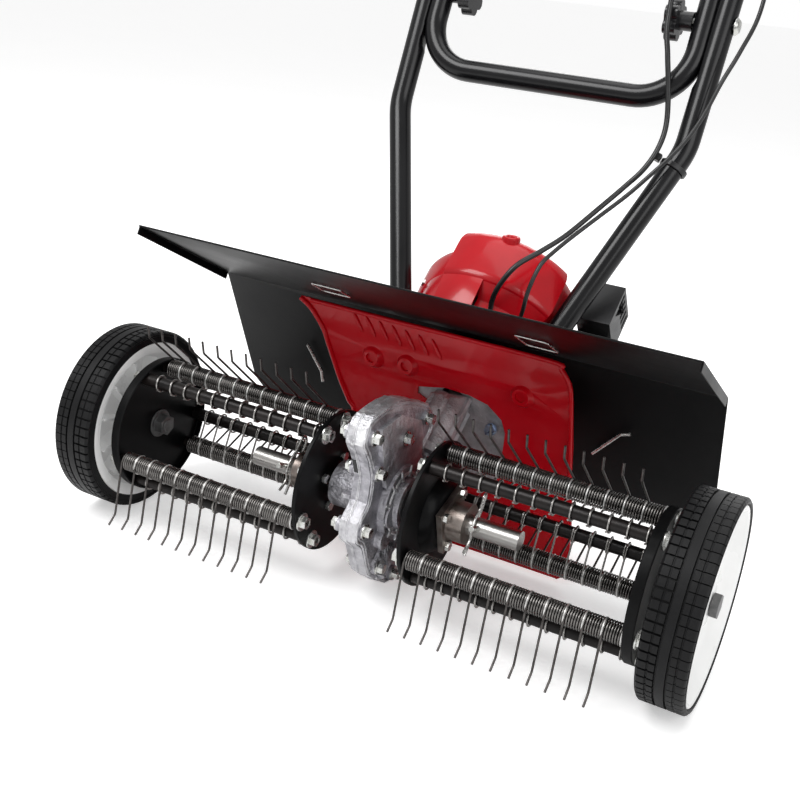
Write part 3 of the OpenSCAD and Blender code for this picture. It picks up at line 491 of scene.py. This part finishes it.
# ---------------------------------------------------------------- wheels
def wheel(s, tyre_node, rim_node):
    body = BODY[tyre_node]
    mt = axis_mat(W(0, 0, 0), (s, 0, 0), (0, 1, 0))
    NB = 66
    # columns: angles; tread blocks alternate
    xs = [264.0, 264.3, 265.2, 266.4, 268.4, 272.2, 272.6, 273.6, 274.0, 278.6, 279.0, 280.2, 280.6, 287.4, 287.8, 289.0, 289.4, 294.0, 294.4, 295.4, 295.8, 299.6, 301.6, 302.8, 303.6, 304.0]
    def top(x):
        if x < 265.2: return 86.4
        if x < 266.4: return 88.0
        if x > 303.5: return 86.4
        if x > 302.6: return 88.0
        return 88.85
    groove = {272.6, 273.6, 294.4, 295.4}
    ring = {279.0, 280.2, 287.8, 289.0}
    vs, fs = [], []
    cols = []
    for b in range(NB):
        for f in (0.0, 0.03, 0.40, 0.43, 0.47, 0.50, 0.78, 0.81, 0.97):
            cols.append((b, f))
    n = len(cols); m = len(xs)
    for b, f in cols:
        for i, x in enumerate(xs):
            r = top(x)
            shoulder_l = x <= 279.0; shoulder_r = x >= 289.0
            # slots across each shoulder row, offset half a block between the two sides
            def is_slot(q):
                q = q % 1.0
                return 0.80 < q < 0.98
            ff = f
            sl = False
            if shoulder_l and 0.79 < ff < 0.99 and x > 264.5: sl = True
            if shoulder_r and 0.42 < ff < 0.48 and x < 303.8: sl = True
            if sl: r = min(r, 86.6 if (x > 265.5 and x < 303) else 85.8)
            if x in groove and not sl: r -= 0.9
            if x in ring: r = 86.9
            th = 2 * math.pi * (b + f) / NB
            if shoulder_r: th += 0.0
            vs.append(mt @ Vector((r / 1000 * math.cos(th), r / 1000 * math.sin(th), x / 1000)))
    for c in range(n):
        d = (c + 1) % n
        for i in range(m - 1):
            fs.append((c * m + i, c * m + i + 1, d * m + i + 1, d * m + i))
    g = Geo(); g.add(vs, fs)
    # side walls and inner surface as one revolve, joined at the shoulders
    side = [(86.4, 264.0), (84.8, 263.9), (84.0, 264.8), (82.2, 264.6), (80.0, 264.0), (78.2, 264.0), (78.1, 271.6), (81.0, 273.8), (81.0, 299.6), (83.6, 301.6), (84.2, 303.4), (85.0, 304.0), (86.4, 304.0)]
    g.revolve([(r / 1000, x / 1000) for r, x in side], mt, n, closed=False)
    me = bpy.data.meshes.new(tyre_node + "_tread"); me.from_pydata([tuple(v) for v in g.v], [], g.f)
    bm = bmesh.new(); bm.from_mesh(me); bmesh.ops.remove_doubles(bm, verts=bm.verts, dist=3e-5); bmesh.ops.recalc_face_normals(bm, faces=bm.faces); bm.to_mesh(me); bm.free()
    o = finish_obj(tyre_node + "_tread", me, M["tyre"], body, 28, fix=False)
    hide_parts(tyre_node)
    # rim: dished moulding with ribs on the inner side
    prof = [(6.3, 259.2), (18.5, 259.2), (19.5, 260.2), (21.2, 282.8), (23.5, 284.4), (58.0, 284.4), (60.5, 283.2), (65.6, 268.8), (67.2, 267.0), (70.0, 266.0), (75.0, 264.8), (77.4, 264.8),
            (77.5, 271.8), (80.5, 274.0), (80.5, 299.9), (83.0, 301.9), (82.3, 302.9), (79.5, 302.4), (76.6, 299.4), (73.6, 295.6), (69.8, 291.4), (66.0, 289.9), (58.0, 289.3), (40.0, 289.2),
            (24.0, 290.2), (20.5, 292.6), (18.0, 295.6), (16.5, 296.2), (6.3, 296.2)]
    g = Geo(); g.revolve([(r / 1000, x / 1000) for r, x in prof], mt, 128)
    for k in range(12):
        th = 2 * math.pi * (k + 0.5) / 12
        e = Vector((0, math.cos(th), math.sin(th))); t = Vector((0, -math.sin(th), math.cos(th)))
        q = []
        for (r, x) in ((20.5, 270.0), (62.0, 268.5), (60.0, 284.8), (20.8, 284.8)):
            for w in (-1.1, 1.1): q.append(W(s * x, *(0, 0)) + (e * r + t * w) / 1000)
        g.add(q, [(0, 2, 3, 1), (2, 4, 5, 3), (4, 6, 7, 5), (6, 0, 1, 7), (0, 6, 4, 2), (1, 3, 5, 7)])
    o = g.make(rim_node + "_moulding", M["white_plastic"], body, SLOT[rim_node], 28)
    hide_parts(rim_node)
wheel(-1, "tyre_left", "rim_left")
wheel(1, "tyre_right", "rim_right")
soft("wheel_bolts", M["dull_steel"], width=0.0008, angle=30)

# ---------------------------------------------------------------- reels
def rp(a, r=57.0): return Vector((0, r * math.cos(math.radians(a)), r * math.sin(math.radians(a))))
def plate_pair(s, inner, outer):
    mt = axis_mat(W(0, 0, 0), (s, 0, 0), (0, 1, 0))
    def mk(prof, node, nm, n=128):
        g = Geo(); g.revolve([(r / 1000, x / 1000) for r, x in prof], mt, n)
        o = g.make(nm, M["black_paint"], "reel", SLOT[node], 30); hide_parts(node)
    mk([(9.2, 50.1), (65.2, 50.0), (65.9, 50.6), (65.9, 53.4), (65.2, 54.0), (36.5, 54.1), (35.2, 54.6), (34.0, 57.6), (32.0, 60.6), (29.5, 63.6), (26.5, 65.0), (22.0, 65.2), (17.0, 65.0), (12.0, 65.2), (9.2, 65.2)],
       inner, inner + "_pressed")
    mk([(6.2, 251.7), (63.6, 251.7), (64.1, 251.2), (64.2, 246.6), (64.6, 246.0), (65.4, 246.0), (65.9, 246.6), (65.9, 254.2), (65.2, 255.1), (64.0, 255.2), (6.2, 255.2)], outer, outer + "_pressed")
plate_pair(-1, "inner_plate_left", "outer_plate_left")
plate_pair(1, "inner_plate_right", "outer_plate_right")
ROWS = (0, 120, 240); A0 = 81.7; LAG = 32.0
def pol(c, r, a, x):
    a = math.radians(a)
    return Vector((x, c.y + r * math.cos(a), c.z + r * math.sin(a)))
def tines(s, node):
    coils, legs, hooks, glint_rings = Geo(), Geo(), Geo(), Geo()
    wr, rc, rh, pitch = 0.80, 8.30, 7.45, 2.20
    for a in ROWS:
        base = A0 + a
        c = rp(base); h = rp(base + LAG)
        th0 = base - 164.0; th1 = base - 31.0 + 360.0 * 6          # wound from the hook side to the leg side
        turns = (th1 - th0) / 360.0
        for i in range(12):
            x0 = s * (64.0 + i * 15.8)
            j1, j2 = rnd.uniform(-0.5, 0.5), rnd.uniform(-0.8, 0.8)
            xa = x0 + 6.6
            N = int(turns * 18)
            pts = [pol(c, rc, th0 + (th1 - th0) * q / N, xa - pitch * turns * q / N) for q in range(N + 1)]
            coils.tube([W(*p) for p in pts], wr / 1000, 8)
            # single ring round the second rod, then straight across to the coil
            hk = [pol(h, rh, th0 - 400.0 * (1 - q / 20.0), xa - 0.4 - 2.2 * (1 - q / 20.0)) for q in range(21)]
            # the hooks take the lighter tone of the spring wire: painted highlight
            hooks.tube([W(*p) for p in hk + [hk[-1].lerp(pts[0], 0.5), pts[0]]], 0.00095, 8)
            # slightly wider ring where one tine ends and the next begins, coloured near white as a painted glint on the
            # spring wire
            rg = [pol(c, rc + 0.40, 360.0 * q / 36.0, x0 + 7.75) for q in range(36)]
            glint_rings.tube([W(*p) for p in rg], 0.00085, 8, closed=True)
            # leg leaves the coil on its tangent, last 12 mm turned back
            st = pts[-1]
            d1 = Vector((j1 * 0.012, math.cos(math.radians(base + 59)), math.sin(math.radians(base + 59)))).normalized()
            d2 = Vector((j2 * 0.02, math.cos(math.radians(base + 21)), math.sin(math.radians(base + 21)))).normalized()
            knee = st + d1 * 52; tip = knee + d2 * 12
            lg = [st, st + d1 * 2, st + d1 * 18, st + d1 * 36] + bent([st + d1 * 40, knee, tip], 4.0, 1.0)
            # the legs take the darker tone of the spring wire: painted shade
            legs.tube([W(*p) for p in lg], 0.00105, 8)
    o1 = coils.make(node + "_coils", M["spring_steel"], "reel", SLOT[node], 50)
    legs.make(node + "_legs", M["spring_steel_painted_shade"], "reel", SLOT[node], 50)
    hooks.make(node + "_hooks", M["spring_steel_painted_highlight"], "reel", SLOT[node], 50)
    glint_rings.make(node + "_rings", M["spring_steel_painted_glint"], "reel", SLOT[node], 50)
    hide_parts(node)
tines(-1, "tines_left"); tines(1, "tines_right")
soft("coil_rods", M["rod_black"], width=0.0006)
soft("hook_rods", M["rod_black"], width=0.0006)
soft("rod_nuts", M["zinc"], width=0.0006, angle=30)
soft("hub_left", M["brown_steel"], width=0.0009)
soft("hub_right", M["brown_steel"], width=0.0009)
soft("hub_pins", M["zinc"], width=0.0005, angle=30)
soft("tine_shaft", M["steel"], width=0.0010)
paint("worm_wheel", M["bronze"])
# hairpin clips through the shaft beside each hub
g = Geo()
for s in (-1, 1):
    d = Vector((0, math.cos(math.radians(53)), math.sin(math.radians(53)))); e = Vector((0, -d.z, d.y))
    x = s * 91.5
    P = [(-27, 0, 0), (-12, 0, 0), (0, 0, 0), (14, 0, 0), (24, 0.5, 0), (28.5, 3.0, 0.4), (29.0, 6.5, 0.9), (25.5, 9.0, 1.3), (20, 8.4, 1.6), (13, 8.6, 1.8), (7, 10.6, 1.9), (0, 11.6, 1.9),
         (-7, 10.4, 1.9), (-11, 7.2, 1.9), (-15, 5.6, 1.8), (-21, 7.2, 1.8), (-26, 9.6, 1.8)]
    g.tube([W(*p) for p in cr([Vector((x, 0, 0)) + d * a + e * b + Vector((s * c, 0, 0)) for a, b, c in P], 6)], 0.00135, 10)
g.make("clip_wire", M["bright_wire"], "reel", "zinc", 50)

# ---------------------------------------------------------------- drive head
soft("gearcase_left", M["cast_aluminium"], width=0.0012, seg=2)
soft("gearcase_right", M["cast_aluminium"], width=0.0012, seg=2)
soft("gearcase_bolts", M["zinc"], width=0.0006, angle=30)
GO = [(-70, 90), (-60, 98), (-14, 100), (44, 80), (60, 54), (46, 34), (79, -1), (62, -22), (40, -40), (22, -68), (12, -82), (-4, -82), (-24, -70), (-42, -56),
      (-58, -24), (-70, -14), (-70, 4), (-56, 18), (-54, 40), (-63, 60), (-74, 76)]
def inset(P, t):
    out = []
    n = len(P)
    area2 = sum(P[i][0] * P[(i + 1) % n][1] - P[(i + 1) % n][0] * P[i][1] for i in range(n))
    sg = 1 if area2 > 0 else -1
    for i in range(n):
        a, b, c = Vector(P[i - 1]), Vector(P[i]), Vector(P[(i + 1) % n])
        u, v = (b - a).normalized(), (c - b).normalized()
        nu, nv = Vector((-u.y, u.x)) * sg, Vector((-v.y, v.x)) * sg
        m = (nu + nv)
        m = m / max(m.length_squared / 2, 0.6)
        out.append(b + m * t)
    return out
AXO = D(0, 0, 0); AXD = (D(0, 0, 1000) - D(0, 0, 0)).normalized()
def clear_runs(P, need=0.0108):
    """closed outline cut open wherever it would cross the worm shaft's bore"""
    dense = []
    n = len(P)
    for i in range(n):
        a, b = P[i], P[(i + 1) % n]
        m = max(1, int((b - a).length / 0.0012))
        dense += [a.lerp(b, k / m) for k in range(m)]
    far = [((q - AXO) - AXD * (q - AXO).dot(AXD)).length > need for q in dense]
    if all(far): return [dense + [dense[0]]]
    k = far.index(False)
    dense, far = dense[k:] + dense[:k], far[k:] + far[:k]
    runs, cur = [], []
    for q, f in zip(dense, far):
        if f: cur.append(q)
        elif cur: runs.append(cur); cur = []
    if cur: runs.append(cur)
    return [c for c in runs if len(c) > 3]
gl, gr = Geo(), Geo()
for t, r in ((2.2, 1.3), (5.4, 1.0)):
    q = inset(GO, t)
    ring = cr([Vector((0, p.x, p.y)) for p in q] + [Vector((0, q[0].x, q[0].y))], 4)[:-1]
    for c in clear_runs([W(-2.0, p.y, p.z) for p in ring]): gl.tube(c, r / 1000, 10)
    for c in clear_runs([W(14.0, p.y, p.z) for p in ring]): gr.tube(c, r / 1000, 10)
for t in (3.5, 4.9):                                             # the parting line stands proud between the halves
    q = inset(GO, -0.15)
    for c in clear_runs([W(t, p.x, p.y) for p in q]): gl.tube(c, 0.0006, 8)
for a in range(15, 375, 30):                                     # short radial ribs round the bearing boss
    e = Vector((0, math.cos(math.radians(a)), math.sin(math.radians(a))))
    gr.tube([W(*(Vector((21.0, 0, 0)) + e * k)) for k in (24.5, 28.0, 32.0, 34.6)], [0.0022, 0.0020, 0.0016, 0.0010], 10)
gr.revolve([(r / 1000, x / 1000) for r, x in ((26.2, 21.0), (27.0, 22.2), (28.6, 22.2), (29.4, 21.0))], axis_mat(W(0, 0, 0), (1, 0, 0), (0, 1, 0)), 64)
gl.make("gearcase_left_beads", M["cast_aluminium"], "chassis", SLOT["gearcase_left"], 50)
gr.make("gearcase_right_beads", M["cast_aluminium"], "chassis", SLOT["gearcase_right"], 50)
# dark sight window on the upper front edge
g = Geo()
dn, nn = Vector((-9, 20)).normalized(), Vector((-20, -9)).normalized()
c0 = Vector((-58.5, 50.0))
vs = []
for off in (-0.4, 0.35):
    for x in (-1.2, 4.4):
        for t in (-7.5, 7.5):
            q = c0 + dn * t + nn * off; vs.append(W(x, q.x, q.y))
g.add(vs, [(0, 1, 3, 2), (4, 6, 7, 5), (0, 4, 5, 1), (2, 3, 7, 6), (0, 2, 6, 4), (1, 5, 7, 3)])
g.make("gearcase_window", M["black_plastic"], "chassis", SLOT["shaft_seals"], 30)
soft("clutch_case", M["cast_grey"], width=0.0010)
soft("fender_bolts", M["blue_zinc"], width=0.0006, angle=30)
paint("shaft_seals", M["rubber"]); paint("bearings", M["steel"])
paint("worm_shaft", M["steel"]); paint("crankshaft", M["steel"]); paint("flywheel", M["cast_aluminium"])

# fender: pressed sheet with a rolled rim, louvres and round dimples
FP = [(101, 130), (101.5, 112), (103, 95), (111, 70), (120, 45), (125, 22), (126, 0), (125, -22), (121, -45), (115, -66), (109, -84)]
def fy(z):
    for (y0, z0), (y1, z1) in zip(FP, FP[1:]):
        if z1 <= z <= z0: return y0 + (y1 - y0) * (z0 - z) / (z0 - z1)
    return FP[0][0] if z > 130 else FP[-1][0]
def fn(z):
    d = Vector((0, fy(z - 4) - fy(z + 4), -8.0)).normalized()
    return Vector((0, -abs(d.z), -abs(d.y) if d.y > 0 else abs(d.y))).normalized() if True else d
FO = [(-166, 132), (-151, 122), (-136, 104), (-130, 86), (-121, 50), (-112, 28), (-104, 10), (-104, -84), (138, -84), (147, -74), (143, -48), (137, -14), (131, 20), (128, 95), (124, 112), (114, 125), (98, 132)]
soft("fender", M["red_paint"], width=0.0008)
g = Geo()
edge = [(138, -82.5), (144.8, -74), (141.4, -48), (135.6, -14), (129.6, 20), (126.4, 95), (122.6, 111), (113, 123), (98, 128.4), (-60, 128.4), (-150, 128.4)]
pts = cr([Vector((x, fy(z) - 1.0, z)) for x, z in edge], 6)
g.tube([W(*p) for p in pts], 0.0022, 12)
edge = [(-162, 128.0), (-149, 120), (-134.6, 103), (-128.4, 86), (-119.4, 50), (-110.4, 28), (-102.6, 8), (-102.6, -82.5)]
pts = cr([Vector((x, fy(z) - 1.0, z)) for x, z in edge], 6)
g.tube([W(*p) for p in pts], 0.0022, 12)
# louvres
for k in range(7):
    f = k / 6.0
    x = -96 + 86 * f; z = 118 - 7 * f
    d = Vector((0.55, 0, -0.83)); q = []
    for t in range(9):
        u = (t / 8.0 - 0.5) * 2
        p = Vector((x, 0, z)) + Vector((d.x, 0, d.z)) * (11 * u); p.y = fy(p.z) - 0.6
        q.append(p)
    rr = [0.0005 + 0.0014 * math.sqrt(max(0.0, 1 - ((t / 8.0 - 0.5) * 2) ** 2)) for t in range(9)]
    g.tube([W(*p) for p in q], rr, 12)
g.make("fender_rolls", M["red_paint"], "chassis", SLOT["fender"], 50)

soft("shield", M["black_paint"], width=0.0005)
g = Geo()
SFv, HDv, HNv = Vector((0, 110.3, 131.3)), Vector((0, -0.901, 0.434)), Vector((0, 0.434, 0.901))
for x0, x1, a0, a1 in ((-112, -82, 56, 84), (86, 116, 36, 76)):
    q = [Vector((x, 0, 0)) + SFv + HDv * a - HNv * 1.9 for x, a in ((x0, a0), (x1, a0), (x1, a1), (x0, a1))]
    g.tube([W(*p) for p in bent([q[0].lerp(q[1], 0.5), q[1], q[2], q[3], q[0], q[0].lerp(q[1], 0.5)], 4.0, 1.5)], 0.00085, 10)
for P in ([(-172, 137, 68), (-161, 151, 38), (-160, 154, 26)], [(140, 153.5, 32), (167, 138, 64), (176, 137, 67)]):
    g.tube([W(*p) for p in bent([Vector(p) for p in P], 5.0, 1.5)], 0.00155, 12)
o = g.make("shield_clip_wire", M["bright_wire"], BODY["shield_clips"], SLOT["shield_clips"], 50)
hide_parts("shield_clips")

# ---------------------------------------------------------------- engine
def arcpts(P, r, n=4):
    """closed outline in (r, s) with every corner rounded"""
    out = []
    m = len(P)
    for i in range(m):
        a, b, c = (Vector((P[k][0], P[k][1], 0)) for k in ((i - 1) % m, i, (i + 1) % m))
        u, v = (a - b), (c - b)
        d = min(r, u.length * 0.4, v.length * 0.4)
        p0, p1 = b + u.normalized() * d, b + v.normalized() * d
        for k in range(n + 1):
            t = k / n
            q = p0 * (1 - t) ** 2 + b * (2 * t * (1 - t)) + p1 * t ** 2
            out.append((q.x / 1000, q.y / 1000))
    return out
def sstep(x): x = max(0.0, min(1.0, x)); return x * x * (3 - 2 * x)
g = Geo()
prof = arcpts([(57.5, 207), (66, 207), (74.8, 222), (75.2, 256), (72, 268), (60, 279), (44, 286), (22, 289), (10, 289), (10, 286.5), (22, 286.5), (43, 283.6), (58.5, 277), (69.0, 266.5), (72.5, 255.5), (72.5, 222.5), (64.8, 209.5), (57.5, 209.5)], 7, 4)
g.revolve(prof, Matrix(), 240)
for v in g.v:
    r = math.hypot(v.x, v.y); x = v.x * 1000
    k = sstep((-14.0 - x) / 6.0) * sstep((r - 0.030) / 0.012)
    # shallow pressed channel beside the step and a second one towards the right side
    ch = math.exp(-((x - 24.0) / 3.0) ** 2) * 0.0013 * sstep((r - 0.030) / 0.02)
    f = 1 - ch / max(r, 0.01)
    v.x *= f; v.y *= f
    v.y += 0.0085 * k * sstep(-v.y / 0.05)
    v.z -= 0.005 * k * sstep((v.z - 0.250) / 0.03)
    v.x -= 0.0085 * sstep((-20.0 - x) / 50.0)
for v in g.v: v.xyz = MD @ v
body_cover = g
g = Geo()
prof = arcpts([(70, 212), (84, 212), (87, 218), (87, 258), (83, 268), (68, 276), (66, 273), (80, 264), (84, 256), (84, 220), (82, 215), (74.5, 215)], 5, 3)
g.revolve(prof, MD, 90, -112.0, -34.0)
# skirt closing the cover down to the bracket, one step lower on the left
g.revolve(arcpts([(79.6, 184), (81.6, 184), (84.8, 214), (82.8, 214)], 0.8, 2), MD, 40, -112.0, -83.0)
g.revolve(arcpts([(69.0, 184), (70.6, 184), (71.2, 199), (84.8, 214), (82.8, 214), (69.6, 200.4)], 0.8, 2), MD, 60, -83.5, -34.0)
g.revolve(arcpts([(69.6, 184), (71.6, 184), (74.6, 224), (72.6, 224)], 0.8, 2), MD, 60, -162.0, -111.0)
bx = [(x, y, z) for z in (229, 251) for x, y in ((-20, 66), (2, 66), (2, 95), (-20, 95))]
g.add([D(*p) for p in bx], [(0, 1, 2, 3), (4, 5, 6, 7), (0, 1, 5, 4), (1, 2, 6, 5), (2, 3, 7, 6), (3, 0, 4, 7)])
mt = axis_mat(W(22, 170, 0), (0, 0, 1), (1, 0, 0))
g.revolve([(r / 1000, z / 1000) for r, z in [(4.6, 209.0), (4.6, 214.0), (5.4, 215.4), (7.4, 215.8), (8.6, 214.9), (9.0, 213.0), (9.0, 192.0), (4.6, 192.0)]], mt, 48)
body_cover.add(g.v, g.f)
o = body_cover.make("engine_cover_shell", M["red_plastic"], BODY["engine_cover"], SLOT["engine_cover"], 32)
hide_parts("engine_cover")
g = Geo(); g.disc_solid([(0.0, 0.2085), (0.0047, 0.2085), (0.0047, 0.2105), (0.0, 0.2105)], mt, 6)
g.make("cover_boss_socket", M["black_plastic"], BODY["engine_cover"], SLOT["engine_cover"], 30)
soft("engine_block", M["engine_metal"], width=0.0008)
soft("engine_screws", M["zinc"], width=0.0004)
soft("muffler", M["steel"], width=0.0020, seg=3)
soft("air_cleaner", M["black_plastic"], width=0.0060, seg=4, angle=50)
soft("carburettor", M["cast_aluminium"], width=0.0010)
soft("choke_lever", M["black_plastic"], width=0.0008)
soft("fuel_tank", M["milky"], width=0.0060, seg=4, angle=60)
soft("fuel_cap", M["red_plastic"], width=0.0008)
soft("plug_cap", M["rubber"], width=0.0010)
soft("starter_grip", M["black_plastic"], width=0.0015, seg=3)
soft("handle_bracket", M["black_paint"], width=0.0008)
soft("handle_bolts", M["zinc"], width=0.0006)
soft("drag_bar", M["black_paint"], width=0.0008)
soft("drag_bar_pin", M["zinc"], width=0.0006)
soft("cable_tie", M["black_plastic"], width=0.0006)
# starter rope, stretched between the housing and the grip
g = Geo()
pts = [D(-2 - 26.0 * k / 24, 84, 240) for k in range(25)]
g.tube(pts, 0.0016, 10)
o = g.make("starter_rope", M["rope"], None, "milky_plastic", 60)
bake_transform(o)

# ---------------------------------------------------------------- stage and light
me = bpy.data.meshes.new("floor")
me.from_pydata([(-60, -60, 0), (60, -60, 0), (60, 60, 0), (-60, 60, 0)], [], [(0, 1, 2, 3)])
floor = bpy.data.objects.new("floor", me); scene.collection.objects.link(floor)
fm = material("floor_white", (0.88, 0.88, 0.88), (0.90, 0.90, 0.90), (0.6, 0.7), big=3, fine=200, bump=0.01)
nt = fm.node_tree
lp = nt.nodes.new("ShaderNodeLightPath"); mu = nt.nodes.new("ShaderNodeMath"); mu.operation = "MULTIPLY"; mu.inputs[1].default_value = 0.42
nt.links.new(lp.outputs["Is Camera Ray"], mu.inputs[0])
pb = [n for n in nt.nodes if n.type == "BSDF_PRINCIPLED"][0]
pb.inputs["Emission Color"].default_value = (1, 1, 1, 1)
nt.links.new(mu.outputs[0], pb.inputs["Emission Strength"])
me.materials.append(fm)
w = bpy.data.worlds.new("world"); scene.world = w; w.use_nodes = True
bg = w.node_tree.nodes["Background"]
bg.inputs[0].default_value = (1, 1, 1, 1)
wlp = w.node_tree.nodes.new("ShaderNodeLightPath"); wm = w.node_tree.nodes.new("ShaderNodeMapRange")
wm.inputs["To Min"].default_value = 0.58; wm.inputs["To Max"].default_value = 1.0
w.node_tree.links.new(wlp.outputs["Is Camera Ray"], wm.inputs["Value"])
w.node_tree.links.new(wm.outputs[0], bg.inputs[1])
def area(name, loc, target, size, power, sy=None):
    l = bpy.data.lights.new(name, "AREA"); l.energy = power; l.size = size
    if sy: l.shape = "RECTANGLE"; l.size_y = sy
    o = bpy.data.objects.new(name, l); scene.collection.objects.link(o)
    o.location = loc
    o.rotation_euler = (Vector(target) - Vector(loc)).to_track_quat("-Z", "Y").to_euler()
area("key", (-0.9, -1.5, 2.1), (0, -0.1, 0.15), 1.2, 36)
area("fill", (1.9, -1.2, 1.3), (0, -0.1, 0.15), 1.4, 14)
area("top", (0.1, 0.3, 2.5), (0, 0.0, 0.1), 1.8, 18)
area("back", (-0.6, 2.0, 1.4), (0, 0.1, 0.3), 1.4, 16)
scene.view_settings.view_transform = "Standard"
